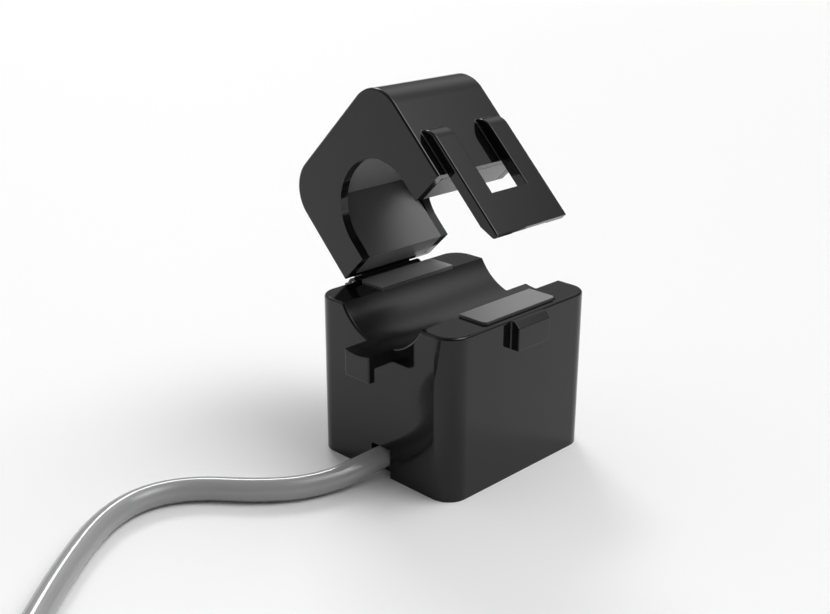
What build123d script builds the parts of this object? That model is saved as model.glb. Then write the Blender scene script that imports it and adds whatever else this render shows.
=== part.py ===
"""Split-core current transformer with its lid open.

X runs across the bore, hinge at -X and latch at +X. Y runs along the bore, the lead leaves at -Y.
Z is up and the origin is the middle of the underside. Sizes are in millimetres.
"""

import os
from math import pi, radians, sqrt, tan

from build123d import *

os.makedirs("parts", exist_ok=True)

# Base moulding
base_width = 30.0  # across the bore
base_length = 33.0  # along the bore
base_height = 26.9
base_corner = 3.5  # upright corners
side_wall = 1.1
end_wall = 1.6
top_wall = 1.3  # also the wall under the trough
edge_round = 0.45  # rim of the top and of the trough's ends
fit_gap = 0.1  # clearance round a dropped-in piece

# Magnetic core: two U-cores of the same section, their legs against the side walls
middle_y = 0.4  # core, lid and latch sit this far beyond the middle, away from the lead
core_section = 5.35
core_height = 18.7  # lower core, pole faces to underside
end_room = 6.575  # left beyond each end of the core for winding and board
leg_outer = base_width / 2 - side_wall - fit_gap
leg_inner = leg_outer - core_section
core_length = base_length - 2 * (end_wall + end_room)
pole_proud = 0.4
pole_corner = 0.5

# Bore: half round between the lid's legs, shallow trough between the base's poles
bore_gap = 0.05
bore_half = leg_inner + bore_gap
trough_depth = 4.95
trough_radius = (bore_half**2 + trough_depth**2) / (2 * trough_depth)
trough_centre_z = base_height - trough_depth + trough_radius

# Lid moulding, drawn closed and then turned open
lid_bottom = base_height + pole_proud  # closed, the pole faces meet
yoke_bottom = lid_bottom - core_height
lid_corner = 6.0
lid_shift = 0.15  # towards the latch, so that the strap clears the base
lid_end_wall = 1.55
lid_top_wall = 1.2
lid_edge_round = 0.4
lid_length = core_length + 2 * (lid_end_wall + fit_gap)
lid_front = base_width / 2 + lid_shift
lid_back = -base_width / 2 + lid_shift
arch_spring = 3.55  # straight sides below the half round
spring_room = 0.7  # between the upper yoke and the lid's top
yoke_inner = lid_bottom + arch_spring + bore_half
yoke_corner_less = 1.5
yoke_corner = lid_corner - yoke_corner_less
lid_height = arch_spring + bore_half + core_section + spring_room + lid_top_wall
lid_open_angle = 45.0

# Hinge
axis_out = 0.36
axis_drop = 0.7
axis_x = -base_width / 2 - axis_out
axis_z = base_height - axis_drop
barrel_radius = 1.05
barrel_side = 0.7 * barrel_radius
pin_radius = 0.5
pin_clearance = 0.04
pin_short = 0.15  # the pin's ends stay this far inside the ears
hinge_y = -0.45
hinge_inset = 2.325  # from the lid's ends
ear_width = 1.93
knuckle_gap = 0.12
hinge_half = lid_length / 2 - hinge_inset
lid_knuckle_half = hinge_half - ear_width - knuckle_gap
knuckle_room = 0.3  # below the turning knuckle
leaf_low, leaf_high = 1.6, 3.4  # the knuckle's leaf runs up the lid's back between these heights
stop_reach = 1.9  # the base's ears stand this far behind the axis and stop the lid
stop_drop = 0.25
stop_thick = 1.6
ear_height = 4.94

# Latch
boss_half = 3.7
boss_proud = 1.6
boss_height = 4.63
boss_drop = 0.2  # below the top face
boss_top = base_height - boss_drop
boss_bottom = boss_top - boss_height
boss_chamfer = 0.95
boss_round = 0.15
foot_round = 0.25  # inside corner where boss and strap leave their walls
strap_inset = 1.9  # from the lid's ends
strap_half = lid_length / 2 - strap_inset
strap_thick = 1.9
shoulder_radius = 3.0  # round top of the strap's arms
strap_rise, strap_drop = 7.9, 12.3  # above and below the lid's lower edge
strap_top = lid_bottom + strap_rise
strap_bottom = lid_bottom - strap_drop
window_gap = 0.25
latch_play = 0.4
window_half = boss_half + window_gap
window_bottom = boss_bottom - latch_play
lead_in_height = 2.7
lead_in_depth = 0.9
groove_depth = 1.1  # the boss runs in this groove inside the strap
lip_height = 1.2
lip_set_back = 0.15
strap_edge_round = 0.3
window_round = 0.2

# Cable-tie saddles
saddle_half = 2.64
saddle_reach = 4.9
saddle_thick = 1.75  # under the trough's lowest line
saddle_bottom = base_height - trough_depth - saddle_thick
hook_thick = 1.2
hook_drop = 2.2
hook_bottom = saddle_bottom - hook_drop

# Lead
cable_radius = 1.85
exit_y = -base_length / 2
exit_z = 3.0
notch_gap = 0.3
notch_half = cable_radius + notch_gap
notch_height = exit_z + cable_radius + fit_gap
notch_round = 0.4
wire_radius = 0.45
coil_radius = 22.0  # middle of the turns
coil_columns = 3
turn_pitch = 3.8
coil_away = 118.5  # from the base's front to the coil's centre
coil_centre = (-5.0, exit_y - coil_away)
layer_gap = 0.1
coil_height = 4 * cable_radius + layer_gap
coil_sink = 0.15  # the solid stays this far inside the outermost strands
stub_length = 16.0  # straight strand that runs into and out of the coil
tail_length = 20.0
tail_swing = 0.8

# Stripped far end
core_offset = 0.85
core_radius = 0.65
sleeve_radius = 0.6
sleeve_length = 8.0
sleeve_collar_radius = 0.95
sleeve_collar_length = 3.0

# Base plate
plate_thick = 1.6
channel_floor = 0.9
channel_long = 4.0
rail_half = 1.0
rail_inset = 1.15  # from the core's ends

# Bobbin and winding
bobbin_wall = 0.8
flange_thick = 1.2
flange_gap = 0.15  # to the core's legs
flange_outer = leg_inner - flange_gap
flange_corner = 2.0
winding_thick = 2.7
tape_thick = 0.2
flange_margin = 0.1
pin_rise = 4.925  # terminal pins above the yoke's middle
pin_inside = 1.8
pin_tail = 0.6
terminal_radius = 0.25
thin_wire_radius = 0.12

# Circuit board, upright between the winding and the end wall
board_thick = 0.8
board_room = 2.1  # from the end wall to the board's face
board_lift = 1.15  # above the lead
board_front = exit_y + end_wall + board_room
board_low = exit_z + cable_radius + board_lift
board_margin_x = 2.3
board_margin_z = 1.6
board_corner = 0.5
pad_x = 2.5
pad_half = 0.65
pad_height = 1.2
pad_proud = 1.05
pad_lift = 2.0
pad_z = board_low + pad_lift
wire_stand_off = 0.2
resistor_width, resistor_proud, resistor_height = 6.3, 0.6, 3.2
resistor_x = -1.05
resistor_drop = 3.6  # its lower edge below the terminal pins
diode_width, diode_proud, diode_height = 2.6, 0.9, 1.6
diode_inset = 3.0  # from the terminal pin
diode_lift = 4.4
diode_low = board_low + diode_lift
joint_base, joint_tip, joint_height = 0.75, 0.4, 0.5

# Collar crimped on the lead, too wide for the notch
collar_wing = 0.85
collar_half = notch_half + collar_wing
collar_long = 1.2
collar_top = 5.6
collar_corner = 0.5
wall_y = exit_y + end_wall
jacket_past = 0.2
cable_inner_y = wall_y + collar_long + jacket_past

# Leaf spring above the upper core
leaf_thick = 0.2
leaf_width = 8.0
leaf_foot = 1.2
leaf_margin = 1.1
leaf_end = leg_outer - yoke_corner - leaf_margin


def box_between(low, high, mode=Mode.ADD):
    """A block between two corners, inside the builder that is open."""
    centre = [(a + b) / 2 for a, b in zip(low, high)]
    with Locations(Location(tuple(centre))):
        Box(*[b - a for a, b in zip(low, high)], mode=mode)


def across(y):
    """The XZ plane at this Y."""
    return Plane.XZ.offset(-y)


def bend_radii(route):
    """The largest arc at each corner of a route: 0.45 of the shorter run over tan(half turn)."""
    points = [Vector(*p) for p in route]
    radii = []
    for before, corner, after in zip(points, points[1:], points[2:]):
        run_in, run_out = corner - before, after - corner
        turn = radians(run_in.get_angle(run_out))
        radii.append(0.45 * min(run_in.length, run_out.length) / tan(turn / 2))
    return radii


def tube(route, radius, label):
    """A round tube along straight runs joined by tangent arcs."""
    radii = bend_radii(route)
    with BuildPart() as made:
        with BuildLine():
            path = FilletPolyline(*route, radius=radii)
        with BuildSketch(Plane(origin=path @ 0, z_dir=path % 0)):
            Circle(radius)
        sweep()
    print(label, "arc radii", [round(r, 1) for r in radii], "length", round(path.length, 1))
    print(label, "volume over section x length", round(made.part.volume / (pi * radius**2 * path.length), 4))
    return made


# Base case: walls, top with the trough, saddles, latch boss and hinge ears in one moulding
with BuildPart() as case_cavity:
    with BuildSketch():
        RectangleRounded(base_width - 2 * side_wall, base_length - 2 * end_wall, base_corner - side_wall)
    extrude(amount=base_height - top_wall)
    with BuildSketch(Plane.XZ):
        with Locations((0, trough_centre_z)):
            Circle(trough_radius + top_wall)
    extrude(amount=base_length, both=True, mode=Mode.SUBTRACT)

with BuildPart() as saddles:
    inner_y = base_length / 2 - end_wall / 2
    outer_y = base_length / 2 + saddle_reach
    for side in (-1, 1):
        with BuildSketch(Plane.YZ):
            with BuildLine():
                Polyline(
                    (side * inner_y, saddle_bottom),
                    (side * (outer_y - hook_thick), saddle_bottom),
                    (side * (outer_y - hook_thick), hook_bottom),
                    (side * outer_y, hook_bottom),
                    (side * outer_y, base_height),
                    (side * inner_y, base_height),
                    close=True,
                )
            make_face()
        extrude(amount=saddle_half, both=True)
    with BuildSketch(Plane.XZ):
        with Locations((0, trough_centre_z)):
            Circle(trough_radius)
    extrude(amount=base_length, both=True, mode=Mode.SUBTRACT)
    hooks = saddles.edges().filter_by(lambda e: abs(e.center().Y) > outer_y - 0.01)
    fillet(hooks.filter_by(GeomType.LINE), edge_round / 2)

with BuildPart() as base_case:
    with BuildSketch():
        RectangleRounded(base_width, base_length, base_corner)
    extrude(amount=base_height)
    with BuildSketch(Plane.XZ):
        with Locations((0, trough_centre_z)):
            Circle(trough_radius)
    extrude(amount=base_length, both=True, mode=Mode.SUBTRACT)
    rim = base_case.edges().filter_by(lambda e: e.center().Z > base_height / 2 and e.length > 0.1)
    rim = rim.filter_by(lambda e: not (abs(e.center().Y) < 1 and abs(e.center().X) < trough_radius))
    fillet(rim.filter_by(lambda e: e.bounding_box().size.Z < base_height / 2), edge_round)
    add(saddles.part)
    add(case_cavity.part, mode=Mode.SUBTRACT)
    # Pole openings
    for side in (-1, 1):
        near, far = sorted((side * (leg_inner - fit_gap), side * (leg_outer + fit_gap)))
        half = core_length / 2 + fit_gap
        under = base_height - trough_depth - 2 * top_wall
        box_between((near, middle_y - half, under), (far, middle_y + half, base_height + 1), Mode.SUBTRACT)
    # Latch boss with a sloping top
    with BuildSketch(across(middle_y)):
        with BuildLine():
            Polyline(
                (base_width / 2 - side_wall / 2, boss_bottom),
                (base_width / 2 + boss_proud, boss_bottom),
                (base_width / 2 + boss_proud, boss_top - boss_chamfer),
                (base_width / 2 + boss_proud - boss_chamfer, boss_top),
                (base_width / 2 - side_wall / 2, boss_top),
                close=True,
            )
        make_face()
    extrude(amount=boss_half, both=True)
    wall_x = base_width / 2
    proud = base_case.edges().filter_by(lambda e: e.center().X > wall_x + boss_proud / 4)
    fillet(proud, boss_round)
    foot = base_case.edges().filter_by(lambda e: abs(e.center().X - wall_x) < 0.01)
    foot = foot.filter_by(lambda e: abs(e.center().Y - middle_y) < boss_half + 0.01)
    fillet(foot.filter_by(lambda e: boss_bottom - 0.01 < e.center().Z < boss_top - edge_round), foot_round)
    # Cable notch, open at the underside
    with BuildSketch(across(-base_length / 2)) as notch:
        with Locations((0, notch_height / 2 - 1)):
            Rectangle(2 * notch_half, notch_height + 2)
        fillet(notch.vertices().group_by(Axis.Y)[-1], notch_round)
    extrude(amount=-2 * end_wall, mode=Mode.SUBTRACT)
    # Hinge ears at the two ends of the hinge, each with a stop for the lid
    for low, high in (
        (hinge_y - hinge_half, hinge_y - lid_knuckle_half - knuckle_gap),
        (hinge_y + lid_knuckle_half + knuckle_gap, hinge_y + hinge_half),
    ):
        with BuildSketch(across(low)):
            with Locations((axis_x, axis_z)):
                Circle(barrel_radius)
            with BuildLine():
                Polyline(
                    (-base_width / 2 + side_wall / 2, axis_z - stop_drop),
                    (axis_x - stop_reach, axis_z - stop_drop),
                    (axis_x - stop_reach, axis_z - stop_drop - stop_thick),
                    (-base_width / 2, axis_z - ear_height),
                    (-base_width / 2 + side_wall / 2, axis_z - ear_height),
                    close=True,
                )
            make_face()
        extrude(amount=-(high - low))
    # Gap in the back wall where the lid's knuckle turns
    box_between(
        (axis_x - 1, hinge_y - lid_knuckle_half - knuckle_gap, axis_z - barrel_radius - knuckle_room),
        (-leg_outer - fit_gap / 2, hinge_y + lid_knuckle_half + knuckle_gap, base_height + 1),
        Mode.SUBTRACT,
    )
    with BuildSketch(across(hinge_y)):
        with Locations((axis_x, axis_z)):
            Circle(pin_radius + pin_clearance / 4)
    extrude(amount=hinge_half + 1, both=True, mode=Mode.SUBTRACT)

# Base plate: closes the underside, carries the lower core and leaves a channel for the lead
with BuildPart() as base_plate:
    plate_corner = base_corner - side_wall + fit_gap
    with BuildSketch():
        RectangleRounded(base_width - 2 * side_wall, base_length - 2 * end_wall, plate_corner)
    extrude(amount=plate_thick)
    for side in (-1, 1):
        rail = side * (leg_inner + core_section / 2)
        reach = core_length / 2 - rail_inset
        low = (rail - rail_half, middle_y - reach, plate_thick)
        box_between(low, (rail + rail_half, middle_y + reach, yoke_bottom))
    inner_end = wall_y + channel_long
    box_between((-notch_half, wall_y, channel_floor), (notch_half, inner_end, plate_thick), Mode.SUBTRACT)
    box_between(
        (-collar_half, wall_y, channel_floor), (collar_half, wall_y + collar_long, plate_thick), Mode.SUBTRACT
    )


def u_outline(pole_z, inner_z, outer_z):
    """Corners of a U-core's face: poles at pole_z, yoke between inner_z and outer_z."""
    right = [(leg_inner, inner_z), (leg_inner, pole_z), (leg_outer, pole_z), (leg_outer, outer_z)]
    return right + [(-x, z) for x, z in reversed(right)]


with BuildPart() as lower_core:
    with BuildSketch(across(middle_y)):
        with BuildLine():
            Polyline(*u_outline(lid_bottom, yoke_bottom + core_section, yoke_bottom), close=True)
        make_face()
    extrude(amount=core_length / 2, both=True)
    uprights = lower_core.edges().filter_by(Axis.Z).filter_by(lambda e: abs(e.center().X) > leg_inner + 1)
    chamfer(uprights, pole_corner)

# Split bobbin round the lower yoke
yoke_mid_z = yoke_bottom + core_section / 2
tube_y, tube_z = core_length + 2 * bobbin_wall, core_section + 2 * bobbin_wall
wound_y, wound_z = tube_y + 2 * winding_thick, tube_z + 2 * winding_thick
taped_y, taped_z = wound_y + 2 * tape_thick, wound_z + 2 * tape_thick
flange_y, flange_z = taped_y + 2 * flange_margin, taped_z + 2 * flange_margin
flange_inner = flange_outer - flange_thick
pin_x = (flange_inner + flange_outer) / 2
pin_z = yoke_mid_z + pin_rise
bobbin_edge = middle_y - flange_y / 2


def bobbin_half(keep):
    with BuildPart() as half:
        with BuildSketch(Plane.YZ) as barrel:
            with Locations((middle_y, yoke_mid_z)):
                Rectangle(tube_y, tube_z)
        extrude(amount=flange_outer, both=True)
        for side in (-1, 1):
            with BuildSketch(Plane.YZ.offset(side * flange_inner)):
                with Locations((middle_y, yoke_mid_z)):
                    RectangleRounded(flange_y, flange_z, flange_corner)
            extrude(amount=side * flange_thick)
        with BuildSketch(Plane.YZ):
            with Locations((middle_y, yoke_mid_z)):
                Rectangle(core_length, core_section)
        extrude(amount=flange_outer + 1, both=True, mode=Mode.SUBTRACT)
        with BuildSketch(across(bobbin_edge)):
            with Locations((-pin_x, pin_z), (pin_x, pin_z)):
                Circle(terminal_radius + fit_gap / 5)
        extrude(amount=-pin_inside - fit_gap, mode=Mode.SUBTRACT)
        split(bisect_by=across(middle_y), keep=keep)
    return half


bobbin_front = bobbin_half(Keep.TOP)
bobbin_back = bobbin_half(Keep.BOTTOM)

with BuildPart() as secondary_winding:
    with BuildSketch(Plane.YZ):
        with Locations((middle_y, yoke_mid_z)):
            RectangleRounded(wound_y, wound_z, winding_thick)
            Rectangle(tube_y, tube_z, mode=Mode.SUBTRACT)
    extrude(amount=flange_inner - fit_gap / 2, both=True)

with BuildPart() as winding_tape:
    with BuildSketch(Plane.YZ):
        with Locations((middle_y, yoke_mid_z)):
            RectangleRounded(taped_y, taped_z, winding_thick + tape_thick)
            RectangleRounded(wound_y, wound_z, winding_thick - fit_gap, mode=Mode.SUBTRACT)
    extrude(amount=flange_inner - fit_gap / 2, both=True)

# Circuit board beside the winding, held on the two terminal pins
board_half = pin_x + board_margin_x
board_high = pin_z + board_margin_z
board_back = board_front - board_thick

with BuildPart() as circuit_board:
    box_between((-board_half, board_back, board_low), (board_half, board_front, board_high))
    fillet(circuit_board.edges().filter_by(Axis.Y), board_corner)
    with BuildSketch(across(board_front)):
        with Locations((-pin_x, pin_z), (pin_x, pin_z)):
            Circle(terminal_radius + fit_gap / 2)
    extrude(amount=board_thick, mode=Mode.SUBTRACT)

with BuildPart() as terminal_pins:
    with BuildSketch(across(bobbin_edge + pin_inside)):
        with Locations((-pin_x, pin_z), (pin_x, pin_z)):
            Circle(terminal_radius)
    extrude(amount=bobbin_edge + pin_inside - board_back + pin_tail)

with BuildPart() as burden_resistor:
    low = pin_z - resistor_drop
    box_between(
        (resistor_x - resistor_width / 2, board_front, low),
        (resistor_x + resistor_width / 2, board_front + resistor_proud, low + resistor_height),
    )
    chamfer(burden_resistor.faces().sort_by(Axis.Y)[-1].edges(), resistor_proud / 6)

with BuildPart() as protection_diode:
    diode_x = pin_x - diode_inset
    box_between(
        (diode_x - diode_width / 2, board_front, diode_low),
        (diode_x + diode_width / 2, board_front + diode_proud, diode_low + diode_height),
    )
    chamfer(protection_diode.faces().sort_by(Axis.Y)[-1].edges(), diode_proud / 4.5)

with BuildPart() as solder_joints:
    for side in (-1, 1):
        box_between(
            (side * pad_x - pad_half, board_front, pad_z),
            (side * pad_x + pad_half, board_front + pad_proud, pad_z + pad_height),
        )
        with Locations(Location((side * pin_x, board_back - joint_height / 2, pin_z), (90, 0, 0))):
            Cone(joint_base, joint_tip, joint_height)
            Cylinder(terminal_radius, 2 * joint_height, mode=Mode.SUBTRACT)

# Ends of the fine winding wire, up to the terminal pins
with BuildPart() as winding_leads:
    for side in (-1, 1):
        start = Vector(side * (flange_inner - 0.7), bobbin_edge + flange_margin / 2, pin_z)
        end = Vector(side * (pin_x - terminal_radius), bobbin_edge - pin_tail, pin_z)
        with BuildSketch(Plane(origin=start, z_dir=end - start)):
            Circle(thin_wire_radius)
        extrude(amount=(end - start).length)

with BuildPart() as strain_relief:
    box_between((-collar_half, wall_y, channel_floor), (collar_half, wall_y + collar_long, collar_top))
    fillet(strain_relief.edges().filter_by(Axis.Y), collar_corner)
    with BuildSketch(across(wall_y)):
        with Locations((0, exit_z)):
            Circle(cable_radius + fit_gap / 10)
    extrude(amount=-collar_long, mode=Mode.SUBTRACT)

# Lead: out of the notch, down to the surface and away in two bends
coil_outer = coil_radius + turn_pitch * (coil_columns - 1) / 2
coil_start_x = coil_centre[0] + coil_outer
stub_y = coil_centre[1] + stub_length
cable_route = [
    (0, cable_inner_y, exit_z),
    (0, exit_y - 1.1, exit_z),
    (-1.0, exit_y - 9.4, cable_radius),
    (-4.9, exit_y - 17.7, cable_radius),
    (-16.65, exit_y - 27.3, cable_radius),
    (-17.4, exit_y - 38.85, cable_radius),
    (-5.7, exit_y - 54.4, cable_radius),
    (9.0, exit_y - 69.5, cable_radius),
    (coil_start_x, exit_y - 87.5, cable_radius),
    (coil_start_x, stub_y, cable_radius),
]
cable = tube(cable_route, cable_radius, "cable")

# The rest of the lead, wound up: three turns side by side, two layers
ring_width = coil_columns * turn_pitch
top_layer_z = coil_height - cable_radius
tail_x = coil_centre[0] - coil_outer
with BuildPart() as cable_coil:
    ring_plane = Plane(origin=(*coil_centre, 0), x_dir=(1, 0, 0), z_dir=(0, -1, 0))
    with BuildSketch(ring_plane):
        with Locations((coil_radius, coil_height / 2)):
            RectangleRounded(ring_width - 2 * coil_sink, coil_height - 2 * coil_sink, cable_radius)
    revolve(axis=Axis((*coil_centre, 0), (0, 0, 1)))
    for x, z in ((coil_start_x, cable_radius), (tail_x, top_layer_z)):
        with BuildSketch(across(stub_y)):
            with Locations((x, z)):
                Circle(cable_radius)
        extrude(amount=stub_length)

end_x = tail_x + tail_swing
jacket_end_y = stub_y + tail_length
tail_route = [
    (tail_x, stub_y, top_layer_z),
    (tail_x, stub_y + 0.325 * tail_length, top_layer_z),
    (end_x, stub_y + 0.675 * tail_length, cable_radius),
    (end_x, jacket_end_y, cable_radius),
]
cable_tail = tube(tail_route, cable_radius, "cable_tail")

# Stripped cores at the far end
tail_wires = {}
for name, side in (("tail_wire_white", -1), ("tail_wire_black", 1)):
    wire_route = [
        (end_x + side * core_offset, jacket_end_y, cable_radius),
        (end_x + side * core_offset, jacket_end_y + 3.5, cable_radius),
        (end_x + side * (core_offset + 1.2), jacket_end_y + 8, 1.0),
        (end_x + side * (core_offset + 2.8), jacket_end_y + 13, 1.0),
    ]
    tail_wires[name] = (tube(wire_route, core_radius, name), wire_route)

# Crimped wire ends: a tinned sleeve on each core, with a plastic collar round its mouth
wire_ends = []
for wire, wire_route in tail_wires.values():
    tip, before = Vector(*wire_route[-1]), Vector(*wire_route[-2])
    wire_ends.append(Plane(origin=tip, z_dir=tip - before))

with BuildPart() as ferrules:
    for wire_end in wire_ends:
        with BuildSketch(wire_end):
            Circle(sleeve_radius)
        extrude(amount=sleeve_length)

with BuildPart() as ferrule_collars:
    for wire_end in wire_ends:
        with BuildSketch(wire_end):
            Circle(sleeve_collar_radius)
            Circle(sleeve_radius + fit_gap / 5, mode=Mode.SUBTRACT)
        extrude(amount=sleeve_collar_length)
for wire_end in wire_ends:
    middle = wire_end.origin + wire_end.z_dir * (sleeve_collar_length + sleeve_length) / 2
    print("bare sleeve", [round(v, 3) for v in middle], [round(v, 5) for v in wire_end.z_dir])

# Inner cores from the jacket to the board
board_wires = {}
wire_y = board_front + wire_radius + wire_stand_off
for name, side in (("signal_wire", -1), ("return_wire", 1)):
    route = [
        (side * core_offset, cable_inner_y, exit_z),
        (side * core_offset, wire_y, exit_z),
        (side * core_offset, wire_y, pad_z - 3),
        (side * pad_x, wire_y, pad_z - 1.5),
        (side * pad_x, wire_y, pad_z),
    ]
    board_wires[name] = tube(route, wire_radius, name)

# Hinge pin, fixed in the base's ears
with BuildPart() as hinge_pin:
    with BuildSketch(across(hinge_y)):
        with Locations((axis_x, axis_z)):
            Circle(pin_radius)
    extrude(amount=hinge_half - pin_short, both=True)

# Lid case, drawn closed
with BuildPart() as lid_case:
    with BuildSketch(across(middle_y)) as outline:
        with Locations((lid_shift, lid_bottom + lid_height / 2)):
            Rectangle(base_width, lid_height)
        fillet(outline.vertices().group_by(Axis.Y)[-1], lid_corner)
    extrude(amount=lid_length / 2, both=True)
    ends = lid_case.edges().filter_by(lambda e: abs(e.center().Y - middle_y) > lid_length / 2 - 0.01)
    fillet(ends.filter_by(lambda e: e.center().Z > lid_bottom + 0.01), lid_edge_round)
    with BuildSketch(across(middle_y)) as hollow:
        cavity_top = lid_bottom + lid_height - lid_top_wall
        with Locations((0, (lid_bottom + cavity_top) / 2)):
            Rectangle(2 * (leg_outer + fit_gap), cavity_top - lid_bottom)
        fillet(hollow.vertices().group_by(Axis.Y)[-1], lid_corner - side_wall)
    extrude(amount=core_length / 2 + fit_gap, both=True, mode=Mode.SUBTRACT)
    with BuildSketch(across(middle_y)):
        with Locations((0, lid_bottom + arch_spring)):
            Circle(bore_half)
        with Locations((0, lid_bottom)):
            Rectangle(2 * bore_half, 2 * arch_spring)
    extrude(amount=lid_length, both=True, mode=Mode.SUBTRACT)

    # Latch strap: two arms off the front wall and a plate with the window for the boss
    strap_front = lid_front + strap_thick
    shoulder_z = strap_top - sqrt(2 * shoulder_radius * strap_thick - strap_thick**2)
    with BuildSketch(across(middle_y)):
        with BuildLine():
            Polyline(
                (lid_front - side_wall / 2, lid_bottom),
                (lid_front - side_wall / 2, strap_top),
                (lid_front, strap_top),
            )
            RadiusArc((lid_front, strap_top), (strap_front, shoulder_z), shoulder_radius)
            Polyline(
                (strap_front, shoulder_z),
                (strap_front, strap_bottom),
                (lid_front + lead_in_depth, strap_bottom),
                (lid_front, strap_bottom + lead_in_height),
                (lid_front, lid_bottom),
                (lid_front - side_wall / 2, lid_bottom),
            )
        make_face()
    extrude(amount=strap_half, both=True)
    edges = lid_case.edges().filter_by(lambda e: abs(abs(e.center().Y - middle_y) - strap_half) < 0.01)
    fillet(edges.filter_by(lambda e: e.center().X > lid_front + strap_thick / 2 + 0.2), strap_edge_round)
    box_between(
        (lid_front, middle_y - window_half, window_bottom),
        (strap_front + 1, middle_y + window_half, strap_top + 1),
        Mode.SUBTRACT,
    )
    edges = lid_case.edges().filter_by(lambda e: abs(abs(e.center().Y - middle_y) - window_half) < 0.01)
    fillet(edges.filter_by(lambda e: e.center().X > lid_front + strap_thick / 2 + 0.2), window_round)
    foot = lid_case.edges().filter_by(lambda e: abs(e.center().X - lid_front) < 0.01)
    foot = foot.filter_by(lambda e: lid_bottom < e.center().Z < strap_top + 0.01)
    foot = foot.filter_by(lambda e: abs(e.center().Y - middle_y) < strap_half + 0.01)
    fillet(foot, foot_round)
    box_between(
        (lid_front - 0.1, middle_y - window_half, strap_bottom - 1),
        (lid_front + groove_depth, middle_y + window_half, window_bottom - lip_height),
        Mode.SUBTRACT,
    )
    box_between(
        (lid_front - 0.1, middle_y - window_half, window_bottom - lip_height),
        (lid_front + lip_set_back, middle_y + window_half, window_bottom),
        Mode.SUBTRACT,
    )

    # Hinge knuckle on a short leaf behind the back wall
    with BuildSketch(across(hinge_y)):
        with Locations((axis_x, axis_z)):
            Circle(barrel_radius)
        with BuildLine():
            Polyline(
                (axis_x - barrel_radius, axis_z),
                (axis_x - barrel_radius, lid_bottom + leaf_low),
                (lid_back, lid_bottom + leaf_high),
                (lid_back + side_wall / 2, lid_bottom + leaf_high),
                (lid_back + side_wall / 2, lid_bottom),
                (axis_x + barrel_side, axis_z + barrel_side),
                (axis_x, axis_z),
                close=True,
            )
        make_face()
    extrude(amount=lid_knuckle_half, both=True)
    with BuildSketch(across(hinge_y)):
        with Locations((axis_x, axis_z)):
            Circle(pin_radius + pin_clearance)
    extrude(amount=hinge_half + 1, both=True, mode=Mode.SUBTRACT)

with BuildPart() as upper_core:
    with BuildSketch(across(middle_y)) as profile:
        with BuildLine():
            Polyline(*u_outline(lid_bottom, yoke_inner, yoke_inner + core_section), close=True)
        make_face()
        fillet(profile.vertices().group_by(Axis.Y)[-1], yoke_corner)
    extrude(amount=core_length / 2, both=True)
    uprights = upper_core.edges().filter_by(Axis.Z).filter_by(lambda e: abs(e.center().X) > leg_inner + 1)
    chamfer(uprights, pole_corner)

# Bowed leaf between the upper yoke and the lid's top
with BuildPart() as core_spring:
    foot_z = yoke_inner + core_section
    crown_z = foot_z + spring_room
    leaf_half = leaf_end - leaf_foot
    with BuildSketch(across(middle_y)):
        with BuildLine():
            ThreePointArc((-leaf_half, foot_z), (0, crown_z - leaf_thick), (leaf_half, foot_z))
            Line((leaf_half, foot_z), (leaf_end, foot_z))
            ThreePointArc((leaf_end, foot_z), (0, crown_z), (-leaf_end, foot_z))
            Line((-leaf_end, foot_z), (-leaf_half, foot_z))
        make_face()
    extrude(amount=leaf_width / 2, both=True)

hinge_axis = Axis((axis_x, 0, axis_z), (0, 1, 0))
pieces = {
    "base_case": base_case.part,
    "base_plate": base_plate.part,
    "lower_core": lower_core.part,
    "bobbin_front": bobbin_front.part,
    "bobbin_back": bobbin_back.part,
    "secondary_winding": secondary_winding.part,
    "winding_tape": winding_tape.part,
    "circuit_board": circuit_board.part,
    "burden_resistor": burden_resistor.part,
    "protection_diode": protection_diode.part,
    "terminal_pins": terminal_pins.part,
    "winding_leads": winding_leads.part,
    "solder_joints": solder_joints.part,
    "signal_wire": board_wires["signal_wire"].part,
    "return_wire": board_wires["return_wire"].part,
    "strain_relief": strain_relief.part,
    "cable": cable.part,
    "cable_coil": cable_coil.part,
    "cable_tail": cable_tail.part,
    "tail_wire_white": tail_wires["tail_wire_white"][0].part,
    "tail_wire_black": tail_wires["tail_wire_black"][0].part,
    "ferrules": ferrules.part,
    "ferrule_collars": ferrule_collars.part,
    "hinge_pin": hinge_pin.part,
    "lid_case": lid_case.part.rotate(hinge_axis, -lid_open_angle),
    "upper_core": upper_core.part.rotate(hinge_axis, -lid_open_angle),
    "core_spring": core_spring.part.rotate(hinge_axis, -lid_open_angle),
}
for name, piece in pieces.items():
    piece.label = name
    export_step(piece, f"parts/{name}.step")
    print(f"{name}: {len(piece.solids())} solid(s), {piece.volume:.1f} mm3, valid {piece.is_valid}")
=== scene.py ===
# %% [markdown]
# # A split-core current transformer, open, with its lead on the floor
# The object is a small black sensor that clips round a wire. The base stands on the floor, its
# lid is turned back on a hinge, and a grey lead leaves the base and runs out of the picture. The
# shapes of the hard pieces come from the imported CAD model. This file gives them their finishes,
# lays the lead as one smooth curve, and sets the light and the camera as in the photograph.

from math import cos, pi, radians, sin, sqrt

import bpy
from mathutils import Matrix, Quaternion, Vector


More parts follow.
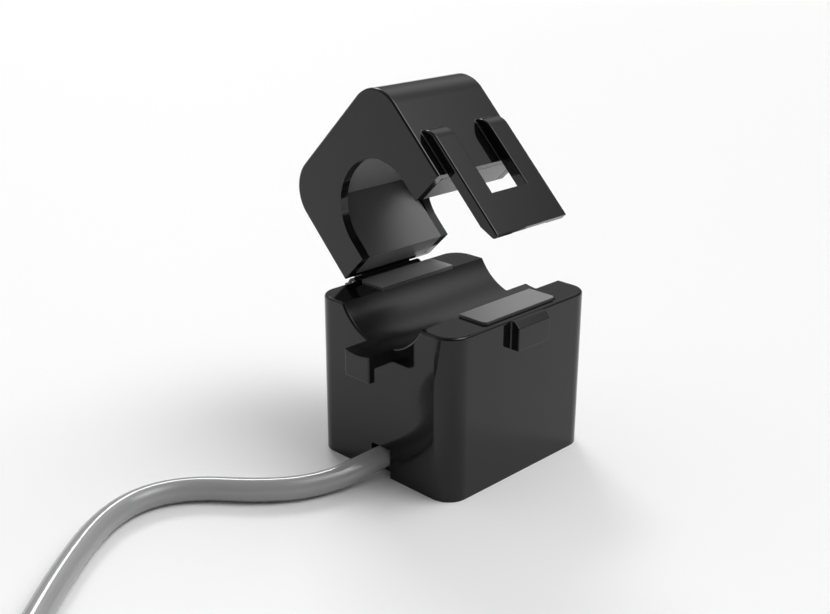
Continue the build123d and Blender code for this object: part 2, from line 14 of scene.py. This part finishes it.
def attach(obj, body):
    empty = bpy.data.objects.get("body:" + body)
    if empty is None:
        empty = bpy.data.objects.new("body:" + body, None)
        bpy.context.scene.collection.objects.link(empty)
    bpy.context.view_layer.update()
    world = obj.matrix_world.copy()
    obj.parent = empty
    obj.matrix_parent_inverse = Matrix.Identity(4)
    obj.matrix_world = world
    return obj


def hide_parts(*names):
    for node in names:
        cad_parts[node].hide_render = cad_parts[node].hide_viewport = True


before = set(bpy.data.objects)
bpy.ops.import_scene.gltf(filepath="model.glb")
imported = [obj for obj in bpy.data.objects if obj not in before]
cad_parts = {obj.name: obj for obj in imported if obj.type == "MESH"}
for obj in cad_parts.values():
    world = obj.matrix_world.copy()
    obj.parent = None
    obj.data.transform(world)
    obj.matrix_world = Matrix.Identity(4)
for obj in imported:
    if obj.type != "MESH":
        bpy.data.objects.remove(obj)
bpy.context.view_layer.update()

MM = 0.001

# %% [markdown]
# ## The camera
# The photograph was taken from the latch and lead side, about 20 degrees above the floor, with a
# lens of normal length. The place, the focal length and a roll of a sixth of a degree were solved
# from the base's edges. A camera could also be aimed with a Track To constraint, but a plain
# look-at rotation keeps the scene free of helpers and takes the roll as one more turn.

# %% Camera at the photograph's place
camera_data = bpy.data.cameras.new("photo_camera")
camera = bpy.data.objects.new("photo_camera", camera_data)
bpy.context.collection.objects.link(camera)
bpy.context.scene.camera = camera

camera_place = Vector((123.45, -133.03, 91.23)) * MM
camera_target = Vector((1.09, -10.01, 27.05)) * MM
camera.location = camera_place
camera_roll = Quaternion((0, 0, 1), radians(0.17))
aim = (camera_target - camera_place).to_track_quat("-Z", "Y")
camera.rotation_euler = (aim @ camera_roll).to_euler()
camera_data.sensor_width = 36.0
camera_data.sensor_fit = "HORIZONTAL"
camera_data.lens = 51.76
camera_data.clip_start = 0.005
print("camera", round((camera_target - camera_place).length, 4), "m from its target")

# %% [markdown]
# ## The lead
# The lead is a round two-core cable with a smooth grey jacket. It leaves a notch in the base,
# drops to the floor and swings away in two lazy bends. Its spare length is wound up outside the
# picture. A bevelled curve suits a cable: the section stays round along its whole length, and one
# spline carries it from the notch through the coil to the stripped end. All places are in
# millimetres.

# %% Points of the lead's route
LEAD_RADIUS = 1.85
NOTCH_HEIGHT = 3.0
route = [
    (0, -13.5, NOTCH_HEIGHT),
    (0, -17.6, NOTCH_HEIGHT),
    (-1.0, -25.9, LEAD_RADIUS),
    (-4.9, -34.2, LEAD_RADIUS),
    (-16.65, -43.8, LEAD_RADIUS),
    (-17.4, -55.35, LEAD_RADIUS),
    (-5.7, -70.9, LEAD_RADIUS),
    (9.0, -86.0, LEAD_RADIUS),
    (20.8, -104.0, LEAD_RADIUS),
    (20.8, -119.0, LEAD_RADIUS),
]
print("route", len(route), "points from the notch to the coil")

# %% [markdown]
# The coil has five and a half turns in two layers. Two turns run inwards on the floor. The third
# climbs over its neighbour: the nearer the two come, the higher it is pushed. The rest runs
# outwards on top. Sixteen points to a turn keep the spline round.

# %% Points of the coil
COIL_CENTRE = (-5.0, -135.0)
COIL_TURNS = 5.5
TURN_PITCH = 3.8
TURN_RADII = (25.8, 22.0, 18.2, 18.2, 22.0, 25.8, 25.8)  # where each turn begins
CLIMBING_TURN = 2
TOP_LAYER = LEAD_RADIUS + TURN_PITCH
POINTS_PER_TURN = 16
SPLINE_SHRINK = 0.75 + 0.25 * cos(2 * pi / POINTS_PER_TURN)  # the curve cuts inside its points


def coil_point(step):
    """One point of the coil, which is wound clockwise as seen from above."""
    turn = step / POINTS_PER_TURN
    whole = int(turn)
    part = turn - whole
    radius = TURN_RADII[whole] + (TURN_RADII[whole + 1] - TURN_RADII[whole]) * part
    if whole < CLIMBING_TURN:
        height = LEAD_RADIUS
    elif whole == CLIMBING_TURN:
        gap = TURN_PITCH * (1 - part)
        height = LEAD_RADIUS + sqrt(TURN_PITCH**2 - gap**2)
    else:
        height = TOP_LAYER
    angle = -2 * pi * turn
    reach = radius / SPLINE_SHRINK
    return (COIL_CENTRE[0] + reach * cos(angle), COIL_CENTRE[1] + reach * sin(angle), height)


coil_steps = round(COIL_TURNS * POINTS_PER_TURN)
coil_points = [coil_point(step) for step in range(coil_steps + 1)]
print("coil", len(coil_points), "points in", COIL_TURNS, "turns")

# %% [markdown]
# The lead's far end comes off the coil and lies on the floor, stripped to its two wires. One
# NURBS spline of the third order passes close to all the points. It rides with the base, and the
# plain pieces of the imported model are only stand-ins for it. The section has a radius of one
# metre and is scaled down at each point, because Blender adds the radius at the points to the box
# round a curve.

# %% The stripped end and the lead's curve
tail_route = [
    (-30.8, -119.0, TOP_LAYER),
    (-30.8, -112.5, TOP_LAYER),
    (-30.0, -105.5, LEAD_RADIUS),
    (-30.0, -99.0, LEAD_RADIUS),
]
lead_points = route + coil_points + tail_route

lead_curve = bpy.data.curves.new("lead", "CURVE")
lead_curve.dimensions = "3D"
lead_curve.bevel_depth = 1.0
lead_curve.bevel_resolution = 8
lead_curve.use_fill_caps = True
lead_curve.resolution_u = 10
spline = lead_curve.splines.new("NURBS")
spline.points.add(len(lead_points) - 1)
for spline_point, (x, y, z) in zip(spline.points, lead_points):
    spline_point.co = (x * MM, y * MM, z * MM, 1)
    spline_point.radius = LEAD_RADIUS * MM
spline.order_u = 3
spline.use_endpoint_u = True
lead = bpy.data.objects.new("lead", lead_curve)
bpy.context.collection.objects.link(lead)

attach(lead, "base")
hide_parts("cable", "cable_coil", "cable_tail")
print("lead", len(lead_points), "points,", 2 * LEAD_RADIUS, "mm thick")

# %% [markdown]
# ## Finishes
# Every finish is a small node tree with a Principled shader. Colour and roughness that don't vary
# are set straight on the shader. What varies over the surface comes from noise in object
# coordinates, so that it sits still on the piece and needs no unwrapping. The helpers find a
# finish's node tree through its shader, so the shader is all that is handed round.


# %% Helpers for finishes
def add_node(near, kind, **settings):
    """A new node in the same tree as another one, with its settings filled in."""
    node = near.id_data.nodes.new(kind)
    for setting, value in settings.items():
        setattr(node, setting, value)
    return node


def join(output, socket):
    output.id_data.links.new(output, socket)


def new_finish(name, colour, roughness, metallic=0.0):
    """A material with plain values, and its shader."""
    material = bpy.data.materials.new(name)
    material.use_nodes = True
    shader = material.node_tree.nodes["Principled BSDF"]
    shader.inputs["Base Color"].default_value = (*colour, 1)
    shader.inputs["Roughness"].default_value = roughness
    shader.inputs["Metallic"].default_value = metallic
    return material, shader


def on_piece(shader):
    """The place on the piece, in metres."""
    return add_node(shader, "ShaderNodeTexCoord").outputs["Object"]


def add_noise(shader, scale, detail=3.0):
    noise = add_node(shader, "ShaderNodeTexNoise")
    noise.inputs["Scale"].default_value = scale
    noise.inputs["Detail"].default_value = detail
    join(on_piece(shader), noise.inputs["Vector"])
    return noise.outputs["Fac"]


def add_bump(shader, height, strength, distance):
    bump = add_node(shader, "ShaderNodeBump")
    bump.inputs["Strength"].default_value = strength
    bump.inputs["Distance"].default_value = distance
    join(height, bump.inputs["Height"])
    join(bump.outputs["Normal"], shader.inputs["Normal"])


def vary_roughness(shader, pattern, start, end):
    """Lets the roughness follow a pattern, from start where it is 0 to end where it is 1."""
    spread = add_node(shader, "ShaderNodeMapRange")
    spread.inputs["To Min"].default_value = start
    spread.inputs["To Max"].default_value = end
    join(pattern, spread.inputs["Value"])
    join(spread.outputs["Result"], shader.inputs["Roughness"])


def finish_node(node, material):
    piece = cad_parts[node]
    piece.data.materials.clear()
    piece.data.materials.append(material)


# %% [markdown]
# ### Polished black plastic
# The case is moulded in a polished tool, so it mirrors the room at a few percent and shows dark
# bands where it mirrors itself. The trough is the exception: there the tool is left satin, and
# the mirror blurs. The distance from the trough's axis tells the two apart, so one finish serves
# the whole case. The axis runs along Y, so Y is taken out before the distance is measured.

# %% Case plastic
BLACK = (0.004, 0.004, 0.0043)
PLASTIC_IOR = 1.42
POLISHED, SATIN = 0.07, 0.26
TROUGH_RADIUS = 9.78
TROUGH_AXIS_HEIGHT = 31.72
SATIN_ENDS, POLISH_BEGINS = 0.02, 0.06  # mm outside the trough


def black_plastic(name):
    """Black and polished, with the faint unevenness of any moulding."""
    material, shader = new_finish(name, BLACK, POLISHED)
    shader.inputs["IOR"].default_value = PLASTIC_IOR
    unevenness = add_noise(shader, scale=320, detail=2)
    add_bump(shader, unevenness, strength=0.01, distance=0.1 * MM)
    return material, shader


case_plastic, shader = black_plastic("case_plastic")
across = add_node(shader, "ShaderNodeVectorMath", operation="MULTIPLY")
join(on_piece(shader), across.inputs[0])
across.inputs[1].default_value = (1, 0, 1)
from_axis = add_node(shader, "ShaderNodeVectorMath", operation="DISTANCE")
join(across.outputs["Vector"], from_axis.inputs[0])
from_axis.inputs[1].default_value = (0, 0, TROUGH_AXIS_HEIGHT * MM)
trough_rim = add_node(shader, "ShaderNodeMapRange")
trough_rim.inputs["From Min"].default_value = (TROUGH_RADIUS + SATIN_ENDS) * MM
trough_rim.inputs["From Max"].default_value = (TROUGH_RADIUS + POLISH_BEGINS) * MM
trough_rim.inputs["To Min"].default_value = SATIN
trough_rim.inputs["To Max"].default_value = POLISHED
join(from_axis.outputs["Value"], trough_rim.inputs["Value"])
join(trough_rim.outputs["Result"], shader.inputs["Roughness"])
for node in ("base_case", "base_plate"):
    finish_node(node, case_plastic)
print("case roughness", POLISHED, "and", SATIN, "in the trough, radius", TROUGH_RADIUS, "mm")

# %% [markdown]
# The lid comes from the same tool and is polished all over. Its roughness wanders a little, which
# keeps its large flat faces from looking like glass.

# %% Lid plastic
LID_ROUGHNESS = (0.06, 0.09)

lid_plastic, shader = black_plastic("lid_plastic")
vary_roughness(shader, add_noise(shader, scale=180), *LID_ROUGHNESS)
finish_node("lid_case", lid_plastic)
print("lid roughness", LID_ROUGHNESS)

# %% [markdown]
# ### The core
# The pole faces are ground flat, so that the two halves meet without a gap, and are lighter than
# the lacquered sides. The sides' darker grey is partly the colour of their lacquered coat and
# partly painted shade, standing in for the shade on the legs' inner faces that the lamps don't
# reach. The direction of the surface tells ground faces from lacquered and shaded ones. The lid
# stands 45 degrees open, so its pole faces look down and towards the latch side.

# %% Core finish
# The sides' darker grey is their lacquered colour and painted shade together.
GROUND_GREY, LACQUER_AND_SHADE_GREY = 0.2, 0.075
CORE_IOR = 1.6
CORE_ROUGHNESS = (0.32, 0.42)
LACQUER_AND_SHADE_UP_TO, GROUND_FROM = 0.9, 0.97  # cosine of the angle to the way the pole faces look


def core_finish(name, pole_direction):
    material, shader = new_finish(name, (GROUND_GREY,) * 3, CORE_ROUGHNESS[0])
    shader.inputs["IOR"].default_value = CORE_IOR
    facing = add_node(shader, "ShaderNodeVectorMath", operation="DOT_PRODUCT")
    join(add_node(shader, "ShaderNodeTexCoord").outputs["Normal"], facing.inputs[0])
    facing.inputs[1].default_value = pole_direction
    # Faces turned away from the pole direction get the darker grey: lacquered colour with painted
    # shade.
    greys = add_node(shader, "ShaderNodeValToRGB")
    join(facing.outputs["Value"], greys.inputs["Fac"])
    lacquer_and_shade, ground = greys.color_ramp.elements
    lacquer_and_shade.position, ground.position = LACQUER_AND_SHADE_UP_TO, GROUND_FROM
    lacquer_and_shade.color = (LACQUER_AND_SHADE_GREY, LACQUER_AND_SHADE_GREY, LACQUER_AND_SHADE_GREY, 1)
    ground.color = (GROUND_GREY, GROUND_GREY, GROUND_GREY, 1)
    join(greys.outputs["Color"], shader.inputs["Base Color"])
    grain = add_noise(shader, scale=2500)
    vary_roughness(shader, grain, *CORE_ROUGHNESS)
    add_bump(shader, grain, strength=0.05, distance=0.05 * MM)
    return material


half = sqrt(0.5)
finish_node("lower_core", core_finish("lower_core_steel", (0, 0, 1)))
finish_node("upper_core", core_finish("upper_core_steel", (half, 0, -half)))
print("core greys", GROUND_GREY, LACQUER_AND_SHADE_GREY)

# %% [markdown]
# ### The lead's jacket
# The jacket is glossy grey PVC. It shows one thin white line, the mirror of the lamp behind. The
# packed stand-ins get the same finish.

# %% Lead jacket
JACKET_GREY = (0.31, 0.31, 0.313)
JACKET_ROUGHNESS = (0.07, 0.11)

jacket, shader = new_finish("lead_jacket", JACKET_GREY, JACKET_ROUGHNESS[0])
vary_roughness(shader, add_noise(shader, scale=400), *JACKET_ROUGHNESS)
add_bump(shader, add_noise(shader, scale=300, detail=2), strength=0.02, distance=0.2 * MM)
lead.data.materials.append(jacket)
for node in ("cable", "cable_coil", "cable_tail"):
    finish_node(node, jacket)
print("jacket roughness", JACKET_ROUGHNESS)

# %% [markdown]
# ### Wires, metal and the pieces inside
# None of these show in the photograph. Their colours are the usual ones of such sensors: tinned
# pins and ferrules, a black and a white wire, a dark bobbin and a green board. A table with one
# row to a finish keeps them together, and a fine noise in the roughness keeps them from looking
# like toys.

# %% Small finishes
METAL, NO_METAL = 1.0, 0.0
ENAMELLED_COPPER = (0.55, 0.2, 0.08)
ROUGHNESS_SPREAD = 0.15  # of the roughness, either way

# A name, then colour, roughness, metal or not, and the nodes that get the finish.
small_finishes = {
    "bright_steel": ((0.55, 0.55, 0.57), 0.22, METAL, "hinge_pin core_spring"),
    "tinned_metal": ((0.7, 0.7, 0.72), 0.3, METAL, "ferrules terminal_pins solder_joints"),
    "white_insulation": (
        (0.8, 0.8, 0.78),
        0.4,
        NO_METAL,
        "tail_wire_white signal_wire ferrule_collars",
    ),
    "black_insulation": ((0.02, 0.02, 0.02), 0.4, NO_METAL, "tail_wire_black return_wire"),
    "bobbin_plastic": (
        (0.03, 0.03, 0.032),
        0.5,
        NO_METAL,
        "bobbin_front bobbin_back strain_relief",
    ),
    "lead_enamel": (ENAMELLED_COPPER, 0.3, METAL, "winding_leads"),
    "yellow_tape": ((0.8, 0.55, 0.08), 0.35, NO_METAL, "winding_tape"),
    "solder_mask": ((0.02, 0.14, 0.05), 0.3, NO_METAL, "circuit_board"),
    "part_body": ((0.03, 0.03, 0.03), 0.45, NO_METAL, "burden_resistor protection_diode"),
}
for name, (colour, roughness, metallic, used_on) in small_finishes.items():
    finish, shader = new_finish(name, colour, roughness, metallic)
    lowest = roughness * (1 - ROUGHNESS_SPREAD)
    highest = roughness * (1 + ROUGHNESS_SPREAD)
    vary_roughness(shader, add_noise(shader, scale=1200), lowest, highest)
    for node in used_on.split():
        finish_node(node, finish)
print("small finishes", len(small_finishes))

# %% [markdown]
# ### The secondary winding
# Many turns of thin enamelled wire lie side by side along the core's back. Ridges from a band
# pattern stand for the turns: as geometry, so many thin wires would cost far more than they show.

# %% Winding
WIRE_PITCH = 0.3
BAND_PERIOD = pi / 10  # of the band pattern at scale 1
ON_THE_WIRE, BETWEEN_WIRES = 0.25, 0.4  # roughness

copper, shader = new_finish("enamelled_copper", ENAMELLED_COPPER, ON_THE_WIRE, METAL)
turns = add_node(shader, "ShaderNodeTexWave", wave_type="BANDS", bands_direction="X")
turns.inputs["Scale"].default_value = BAND_PERIOD / (WIRE_PITCH * MM)
join(on_piece(shader), turns.inputs["Vector"])
ridges = turns.outputs["Fac"]
vary_roughness(shader, ridges, BETWEEN_WIRES, ON_THE_WIRE)
add_bump(shader, ridges, strength=0.6, distance=WIRE_PITCH * MM / 4)
finish_node("secondary_winding", copper)
print("winding: one ridge to every", WIRE_PITCH, "mm")

# %% [markdown]
# ## Floor and light
# The photograph is a catalogue picture: a pale floor that runs out to white, lamps on the right
# and behind, and a dim room. The soft shadows on the floor give the lamps' places, and the thin
# line on the lead gives the one behind. The dim room matters as much as the lamps, because
# polished plastic shows nothing but what it mirrors. The floor is one large matt plane.

# %% Floor
FLOOR_SIZE = 60.0
FLOOR_WHITE = (0.92, 0.92, 0.92)

bpy.ops.mesh.primitive_plane_add(size=FLOOR_SIZE, location=(0, 0, 0))
floor = bpy.context.object
floor.name = "floor"
floor_paint, shader = new_finish("floor_paint", FLOOR_WHITE, 0.6)
shader.inputs["Specular IOR Level"].default_value = 0.2
floor.data.materials.append(floor_paint)
print("floor", FLOOR_SIZE, "m wide")

# %% [markdown]
# A lamp is placed by its azimuth and elevation, which is how shadows are read. The azimuth counts
# from +X towards +Y: 45 degrees is the picture's right and 135 lies straight behind the object.
# The lamps stand far away, so that their light is even over the whole object. A lamp that the
# plastic would mirror as a hard patch, which the photograph doesn't show, is left out of mirrored
# rays.

# %% Soft lamps
LAMP_DISTANCE = 6.0


def direction(azimuth, elevation):
    turn, rise = radians(azimuth), radians(elevation)
    return Vector((cos(turn) * cos(rise), sin(turn) * cos(rise), sin(rise)))


def soft_lamp(name, azimuth, elevation, width, height, radiance, mirrored):
    """A flat lamp that faces the object. Its power follows from how bright its face looks."""
    data = bpy.data.lights.new(name, "AREA")
    data.shape = "RECTANGLE"
    data.size, data.size_y = width, height
    data.energy = radiance * pi * width * height
    lamp = bpy.data.objects.new(name, data)
    bpy.context.collection.objects.link(lamp)
    lamp.location = direction(azimuth, elevation) * LAMP_DISTANCE
    lamp.rotation_euler = (-lamp.location).to_track_quat("-Z", "Y").to_euler()
    lamp.visible_glossy = mirrored
    print(name, "power", round(data.energy, 1), "W")


soft_lamp("right_lamp", 69, 29, width=4.0, height=4.0, radiance=1.3, mirrored=False)
soft_lamp("rear_lamp", 148, 40, width=1.8, height=1.3, radiance=13.0, mirrored=True)

# %% [markdown]
# The room is a smooth sky: a dim base that turns white towards the horizon, and a few round
# glows. The strongest is the key light, high on the right. Glows have no edges, so the plastic
# mirrors them as soft gradients. A picture of a studio could do the same, but a few numbers are
# easier to change.

# %% Room
HORIZON_LIGHT, ROOM_LIGHT = 1.3, 0.1
DIM_FROM = 0.16  # sine of the elevation, about 9 degrees
# Azimuth, elevation, sharpness and strength.
KEY_LIGHT = (41, 58, 19, 6.2)
REAR_GLOW = (120, 46, 14, 0.9)
LEFT_FILL = (202, 27, 3, 0.55)

world = bpy.data.worlds.new("room")
bpy.context.scene.world = world
world.use_nodes = True
background = world.node_tree.nodes["Background"]
look = add_node(background, "ShaderNodeTexCoord").outputs["Generated"]


def math_step(kind, first, second):
    """One sum in the sky. Either side is an output of an earlier step or a plain number."""
    step = add_node(background, "ShaderNodeMath", operation=kind)
    for socket, value in zip(step.inputs, (first, second)):
        if isinstance(value, (int, float)):
            socket.default_value = value
        else:
            join(value, socket)
    return step.outputs["Value"]


def glow(azimuth, elevation, sharpness, strength):
    """A round patch of light: a power of the cosine of the angle from its middle."""
    toward = add_node(background, "ShaderNodeVectorMath", operation="DOT_PRODUCT")
    join(look, toward.inputs[0])
    toward.inputs[1].default_value = direction(azimuth, elevation)
    front = math_step("MAXIMUM", toward.outputs["Value"], 0.0)
    return math_step("MULTIPLY", math_step("POWER", front, sharpness), strength)


split = add_node(background, "ShaderNodeSeparateXYZ")
join(look, split.inputs["Vector"])
horizon = add_node(background, "ShaderNodeMapRange", interpolation_type="SMOOTHSTEP")
horizon.inputs["From Max"].default_value = DIM_FROM
horizon.inputs["To Min"].default_value = HORIZON_LIGHT
horizon.inputs["To Max"].default_value = ROOM_LIGHT
join(split.outputs["Z"], horizon.inputs["Value"])
light = horizon.outputs["Result"]
for patch in (KEY_LIGHT, REAR_GLOW, LEFT_FILL):
    light = math_step("ADD", light, glow(*patch))
join(light, background.inputs["Strength"])
background.inputs["Color"].default_value = (1, 1, 1, 1)

bpy.context.scene.view_settings.view_transform = "Standard"
print("room light", ROOM_LIGHT, "and", HORIZON_LIGHT, "at the horizon, with 3 glows")
